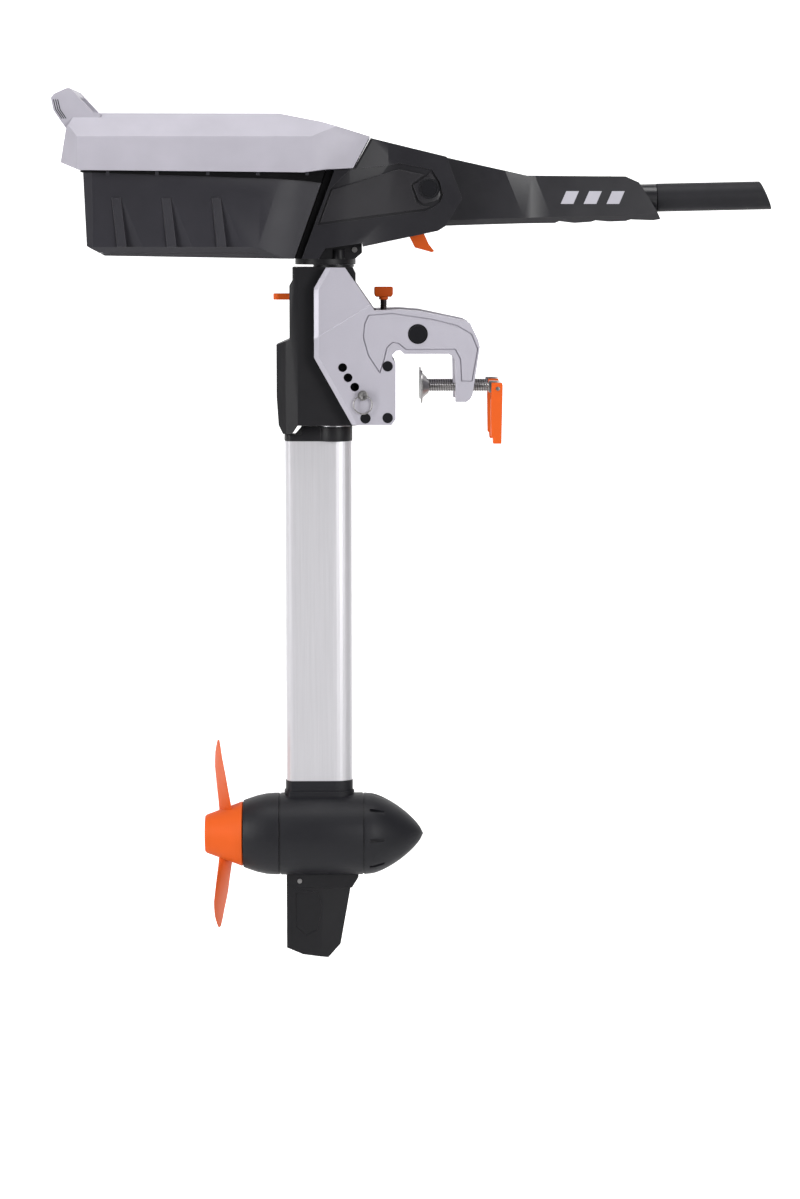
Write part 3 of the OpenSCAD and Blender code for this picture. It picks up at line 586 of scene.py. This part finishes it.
def arm_half_width(x, z):
    """Half width of the arm, whose facets slant with its height."""
    along = x - (ARM_TOP - z) * SLANT
    if along <= BAND[0][0]:
        return BAND[0][1]
    for (x0, w0), (x1, w1) in zip(BAND, BAND[1:]):
        if along <= x1:
            return w0 + (w1 - w0) * (along - x0) / (x1 - x0)
    return BAND[-1][1]


def arm_side(x, y, z):
    """Puts the arm's sides on the slanting facets and the lower chamfer."""
    if x < ARM_ROOT_X or abs(y) < ARM_CORE:
        return x, y, z
    line = CHAMFER_AT[1] + (x - CHAMFER_AT[0]) * CHAMFER_RISE
    half = arm_half_width(x, z) - CHAMFER_SLOPE * max(0, line - z)
    return x, math.copysign(half, y), z


def bar_side(x, y, z):
    """Lays a bar on the arm's side, with its outer face a little proud."""
    rise = BAR_PROUD if abs(y) > sum(BAR_Y) / 2 else BAR_ROOT
    return x, math.copysign(arm_half_width(x, z) + rise, y), z


def bar(side, x):
    """One leaning bar of the printed mark."""
    (low, high), (inner, outer) = BAR_Z, BAR_Y
    outline = [(x, low), (x + BAR_WIDTH, low), (x + BAR_WIDTH + BAR_LEAN, high),
               (x + BAR_LEAN, high)]
    piece = push(prism(outline, side * inner, side * outer), bar_side)
    return dress(smooth(piece), "mark_print")


def make_tiller():
    """The faceted arm and the printed bars on its sides."""
    arm = copy_of("tiller_arm")
    slope = Vector((1, 0, SLANT)).normalized()
    for x in (BAND[0][0], BAND[1][0]):
        slice_at(arm, (x, 0, ARM_TOP), slope)
    slice_at(arm, (CHAMFER_AT[0], 0, CHAMFER_AT[1]), Vector((-CHAMFER_RISE, 0, 1)).normalized())
    stand_for(facets(bevel(push(arm, arm_side), 1.3)), "tiller_arm")
    bars = [bar(side, BAR_X + BAR_PITCH * i) for side in (-1, 1) for i in range(3)]
    attach("arm_stripes", bars, "tiller_arm")


# ------------------------------------------------------------------ clamp bracket

CREASE = ((-144.5, 17.5), (-86.7, 52.7))
STEP, STEP_RUN, WING_LEAN, WING_DROP = 1.2, 1.3, 0.03, 3.0
PLATE_Y = 67.0
CAD_PANEL_Y = 65.5
GROOVE_OUTLINE = [
    (-76, 48.4), (-45.9, 50.7), (5, 43.1), (35.2, 35.6), (53.3, 25.1), (61.3, 6.2), (54.2, -34.1),
    (41, -34.1), (39.8, -6.9), (33, 5.9), (-28.9, 5.5), (-38, 13.1), (-45.9, 14.6), (-53.1, 8.2),
    (-56.1, -5.7), (-61.8, -23.8), (-76.1, -2), (-82.5, 20.6), (-81, 37.2)
]
GROOVE_WIDTH, GROOVE_DEPTH = 1.5, 2.2
REAR_EDGE = ((-129.5, 108.0), (-144.5, 82.0), (-144.5, -5.0), (-97.0, -89.5))
REAR_SIDES = [(a, left_of(a, b)) for a, b in zip(REAR_EDGE, REAR_EDGE[1:])]
REAR_BEVEL, REAR_SLOPE = 6.0, 0.75
SCREW_Y, SCREW_Z = 53.5, -42.0
CROSS_LONG, CROSS_WIDE, CROSS_DEEP = 8.0, 1.6, 1.1


def level(x, y, z):
    """Fills the CAD plate's shallow panel, so that its outer face is flat."""
    return x, math.copysign(PLATE_Y, y) if CAD_PANEL_Y < abs(y) < PLATE_Y else y, z


def plate_face(x, y, z):
    """Steps the wing back above the crease, and slopes the rear edges away."""
    if abs(y) < PLATE_Y - 0.1:
        return x, y, z
    place = Vector((x, z))
    above = (place - Vector(CREASE[0])).dot(left_of(*CREASE))
    drop = 0.0 if above < STEP_RUN / 2 else STEP + min(WING_DROP, above * WING_LEAN)
    depth = min((place - Vector(corner)).dot(normal) for corner, normal in REAR_SIDES)
    drop += max(0.0, REAR_BEVEL - max(0.0, depth)) * REAR_SLOPE
    return x, y - math.copysign(drop, y), z


def make_plate(node):
    """A bracket plate with its outline groove, its stepped wing and its sloped rear edges."""
    plate = push(copy_of(node), level)
    side = math.copysign(1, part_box(node)[0][1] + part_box(node)[1][1])
    for start, end in zip(GROOVE_OUTLINE, GROOVE_OUTLINE[1:] + GROOVE_OUTLINE[:1]):
        cut(plate, ribbon([start, end], GROOVE_WIDTH, side * (PLATE_Y - GROOVE_DEPTH),
                          side * (PLATE_Y + 2)))
    (x0, z0), normal = CREASE[0], left_of(*CREASE)
    for rise in (0, STEP_RUN):
        slice_at(plate, (x0 + normal.x * rise, 0, z0 + normal.y * rise), (normal.x, 0, normal.y))
    for (x, z), n in REAR_SIDES:
        slice_at(plate, (x + n.x * REAR_BEVEL, 0, z + n.y * REAR_BEVEL), (n.x, 0, n.y))
    for (_, before), ((x, z), after) in zip(REAR_SIDES, REAR_SIDES[1:]):
        mitre = before - after
        slice_at(plate, (x, 0, z), (mitre.x, 0, mitre.y))
    stand_for(facets(bevel(push(plate, plate_face), 0.8)), node)


def make_clamp(side_name, side):
    """A clamp screw with a real thread."""
    node = "clamp_screw_" + side_name
    screw = dress(bevel(copy_of(node), 0.5), "steel")
    thread = threaded(-1.0, 76.0, radius=5.5, pitch=3.0, depth=1.0,
                      centre=(0, side * SCREW_Y, SCREW_Z))
    dress(thread, "thread_steel")
    stand_for(join("screw_" + side_name, [screw, thread]), node, "steel")


def make_pin():
    """The trim pin with a cross recess in its head."""
    pin = copy_of("trim_pin")
    lower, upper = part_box("trim_pin")
    x, z = ((lower[i] + upper[i]) / 2 / MM for i in (0, 2))
    face = lower[1] / MM
    for width, height in ((CROSS_LONG, CROSS_WIDE), (CROSS_WIDE, CROSS_LONG)):
        cut(pin, prism([(x - width / 2, z - height / 2), (x + width / 2, z - height / 2),
                        (x + width / 2, z + height / 2), (x - width / 2, z + height / 2)],
                       face - 1, face + CROSS_DEEP))
    stand_for(bevel(pin, 0.6), "trim_pin", "steel")


def make_rest_screw():
    """The orange hold-down knob on its threaded shank."""
    x = (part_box("rest_screw")[0][0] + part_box("rest_screw")[1][0]) / 2 / MM
    head = [(x - 10, 70), (x + 10, 70), (x + 12, 73), (x + 12, 83), (x - 12, 83), (x - 12, 73)]
    knob = dress(bevel(prism(head, -7, 7), 1.8), "orange_plastic")
    collar = smooth(spun([(66.5, 5.0), (67, 5.8), (70.5, 5.8)], (x, 0, 0), "Z"))
    dress(collar, "orange_plastic")
    shank = threaded(-1.6, 70.5, radius=4.45, pitch=2.0, depth=0.8, centre=(x, 0, 0), axis="Z")
    dress(shank, "thread_steel")
    screw = join("hold_down_screw", [knob, collar, shank])
    stand_for(screw, "rest_screw", "orange_plastic")


# ------------------------------------------------------------------ skeg

FIN_RIDGE = ((-134.5, -708.0), (-139.0, -789.0))
FIN_ROOT_Z, FIN_TAPER, FIN_EDGE = -697.0, 34.0, 0.3


def fin_side(x, y, z):
    """Thins the fin forward of its ridge."""
    ahead = (Vector((x, z)) - Vector(FIN_RIDGE[0])).dot(left_of(*FIN_RIDGE))
    if ahead <= 0.01 or z > FIN_ROOT_Z + 0.5:
        return x, y, z
    return x, y * max(FIN_EDGE, 1 - ahead / FIN_TAPER), z


def make_skeg():
    """The fin under the pod, with a ridge and a thinner front."""
    fin = copy_of("skeg")
    (x, z), normal = FIN_RIDGE[0], left_of(*FIN_RIDGE)
    slice_at(fin, (x, 0, z), (normal.x, 0, normal.y))
    slice_at(fin, (0, 0, FIN_ROOT_Z), (0, 0, 1))
    stand_for(facets(bevel(push(fin, fin_side), 1.2)), "skeg")


# ------------------------------------------------------------------ battery

TUB_Y = 90.0
TUB_SIDE = [(-402, 128), (-210, 128), (-210, 200), (-402, 200)]
# At the top and at the foot: height, the x of three lines, how proud the rib is and the hollow
RIB_ROWS = (
    (195.0, (-394.5, -383.5, -382.5), 0.8, 0.6),
    (134.0, (-388.0, -376.5, -357.0), 4.6, 2.6),
)
RIB_COUNT, RIB_PITCH, RIB_LEAN = 3, 62.0, 1.2
TAB_XS = (-399.0, -338.0, -275.0, -213.0, -152.0)
TAB_HALF, TAB_Y, TAB_Z = 2, (97.5, 98.8), (222.5, 227.5)
# Black strips of painted shade for the handle's grooves: insets from its edge, width, and the span in
# y
LINE_INSETS, LINE_WIDTH, LINE_Y = (2.0, 4.6, 7.2), 1.1, (77.4, 78.15)
HANDLE_EDGE = ((-468.6, 316), (-465.8, 303.5), (-458.4, 292.5))


def rib(side, shift):
    """A narrow wedge that stands proud at its foot."""
    rings = []
    for z, (left, right, _), proud, _ in RIB_ROWS:
        a, b = left + shift, right + shift
        high, out, inn = (side * (TUB_Y + rise) for rise in (proud + RIB_LEAN, proud, -1.0))
        rings.append([(a - 0.8, inn, z), (a, high, z), (b, out, z), (b + 0.6, inn, z)])
    return facets(bevel(loft("rib", *rings), 0.7), 2.0)


def pocket(side, shift):
    """The shallow three-sided hollow in front of a rib, deepest beside it."""
    rings = []
    for z, (_, right, front), _, deep in RIB_ROWS:
        b, c = right + shift - 0.5, front + shift
        rings.append([(x, side * (TUB_Y + y), z) for x, y in (
            (b, 1.0), (b, -deep), (c, -0.05), (c, 1.0))])
    return loft("pocket", *rings)


def make_tub():
    """The battery's tub, with leaning ribs and a hollow in front of each."""
    tub = copy_of("battery_tub")
    for side in (-1, 1):
        cut(tub, prism(TUB_SIDE, side * TUB_Y, side * (TUB_Y + 12)))
        for i in range(RIB_COUNT):
            cut(tub, pocket(side, RIB_PITCH * i))
    facets(bevel(tub, 1.6))
    ribs = [rib(side, RIB_PITCH * i) for side in (-1, 1) for i in range(RIB_COUNT)]
    stand_for(join("ribbed_tub", [tub] + ribs), "battery_tub", "tub_grey")


def tab(side, x):
    (low, high), (inner, outer) = TAB_Z, TAB_Y
    outline = [(x - TAB_HALF, low), (x + TAB_HALF, low), (x + TAB_HALF, high), (x - TAB_HALF, high)]
    return dress(bevel(prism(outline, side * inner, side * outer), 0.3), "tub_grey")


# Painted shade: a black strip that stands for the shade inside one groove along the handle's rear
# edge
def groove_shade_strip(side, inset):
    line = [(x + inset, z) for x, z in HANDLE_EDGE]
    return dress(ribbon(line, LINE_WIDTH, side * LINE_Y[0], side * LINE_Y[1]), "cap_black")


def make_lid_details():
    """The tabs under the lid's rim, and black strips that paint the shade of the grooves along the
    handle's rear edge.
    """
    tabs = [tab(side, x) for side in (-1, 1) for x in TAB_XS]
    attach("rim_tabs", tabs, "battery_lid")
    lines = [groove_shade_strip(side, inset) for side in (-1, 1) for inset in LINE_INSETS]
    attach("handle_groove_shade_strips", lines, "battery_lid")


# ------------------------------------------------------------------ motor pod and collar

POD_Z = -625.0
SEAM_XS, SEAM_HALF, SEAM_FLOOR, PAST_SKIN = (-191.0, -83.0), 0.9, 52.2, 60
SLOT_COUNT, SLOT_HALF = 8, 2.3
SLOT = [(-75, 48.6), (-56, 45.5), (-56, PAST_SKIN), (-75, PAST_SKIN)]


def make_pod_body():
    """The motor housing, with an open seam at each end."""
    body = copy_of("pod_body")
    for x in SEAM_XS:
        profile = [(x - SEAM_HALF, PAST_SKIN), (x - SEAM_HALF, SEAM_FLOOR),
                   (x + SEAM_HALF, SEAM_FLOOR), (x + SEAM_HALF, PAST_SKIN)]
        cut(body, spun(profile, (0, 0, POD_Z), hollow=True))
    stand_for(bevel(body, 0.7), "pod_body")


def make_nose():
    """The nose, with its cooling slots."""
    nose = copy_of("nose_cone")
    centre = Matrix.Translation((0, 0, POD_Z * MM))
    for i in range(SLOT_COUNT):
        slot = prism([(x, POD_Z + r) for x, r in SLOT], -SLOT_HALF, SLOT_HALF)
        turn = Matrix.Rotation(2 * math.pi * i / SLOT_COUNT, 4, "X")
        slot.data.transform(centre @ turn @ centre.inverted())
        cut(nose, slot)
    stand_for(bevel(nose, 0.7), "nose_cone")


def make_collar():
    """The collar on top of the leg, with the sloping end of its raised part."""
    collar = bevel(copy_of("shaft_collar"), 0.8)
    wedge = bevel(prism([(-170.5, -106), (-161, -94.9), (-160, -106)], -15.4, 15.4), 0.5)
    stand_for(join("leg_collar", [collar, wedge]), "shaft_collar")


make_head()
make_tiller()
for plate_node in ("clamp_plate_near", "clamp_plate_far"):
    make_plate(plate_node)
make_clamp("near", -1)
make_clamp("far", 1)
make_rest_screw()
make_pin()
make_skeg()
make_tub()
make_lid_details()
make_head_lip()
make_pod_body()
make_nose()
make_collar()


# ------------------------------------------------------------------ camera, floor and light

def make_camera():
    data = bpy.data.cameras.new("camera")
    data.sensor_fit = "VERTICAL"
    data.sensor_height = 36
    data.lens = 96
    data.clip_end = 60
    camera = bpy.data.objects.new("camera", data)
    SCENE.collection.objects.link(camera)
    camera.location = (-0.0927, -4.0958, 0.1674)
    camera.rotation_euler = (math.radians(90 - 6.77), 0, math.radians(-0.8))
    SCENE.camera = camera


def make_stage():
    """A pale floor, and a bright backdrop that curves up behind the object."""
    floor_z, join_y, back_y, radius, half = -1.6, 1.2, 6.0, 3.0, 14.0
    bend = [(back_y - radius + radius * math.sin(a), floor_z + radius - radius * math.cos(a))
            for a in (math.radians(d) for d in range(0, 91, 5))]
    for name, glow, profile in (("floor", 0.0, [(-12.0, floor_z), (join_y, floor_z)]),
                                ("backdrop", 0.8, [(join_y, floor_z)] + bend + [(back_y, 12.0)])):
        bm = bmesh.new()
        rows = [[bm.verts.new((x, y, z)) for x in (-half, half)] for y, z in profile]
        for low, high in zip(rows, rows[1:]):
            bm.faces.new((low[0], low[1], high[1], high[0]))
        sheet = smooth(from_bmesh(name, bm), 60)
        s = Shader(name + "_white")
        s.colour(s.mix(s.noise(0.6, 2), (0.93, 0.93, 0.93), (0.95, 0.95, 0.95)))
        s.set(Roughness=0.9, Specular_IOR_Level=0.1, Emission_Color=(1, 1, 1, 1),
              Emission_Strength=glow)
        sheet.data.materials.append(s.mat)


def area_light(name, place, aim, size, watts, colour=(1, 1, 1)):
    data = bpy.data.lights.new(name, "AREA")
    data.shape = "RECTANGLE"
    data.size, data.size_y = size
    data.energy = watts
    data.color = colour
    light = bpy.data.objects.new(name, data)
    SCENE.collection.objects.link(light)
    light.location = place
    light.rotation_euler = (Vector(aim) - Vector(place)).to_track_quat("-Z", "Y").to_euler()


def make_light():
    world = bpy.data.worlds.new("world")
    SCENE.world = world
    world.use_nodes = True
    background = world.node_tree.nodes["Background"]
    background.inputs["Color"].default_value = (1.0, 1.0, 1.0, 1)
    background.inputs["Strength"].default_value = 0.12
    area_light("top_softbox", (-0.1, -0.6, 2.6), (-0.1, 0, 0), (3.0, 1.4), 66)
    area_light("left_softbox", (-3.2, -2.2, 0.6), (-0.1, 0, -0.1), (1.2, 2.8), 95)
    area_light("right_softbox", (2.1, -3.6, 0.5), (0, 0, 0), (1.5, 2.2), 85)


make_camera()
make_stage()
make_light()
SCENE.view_settings.view_transform = "Standard"
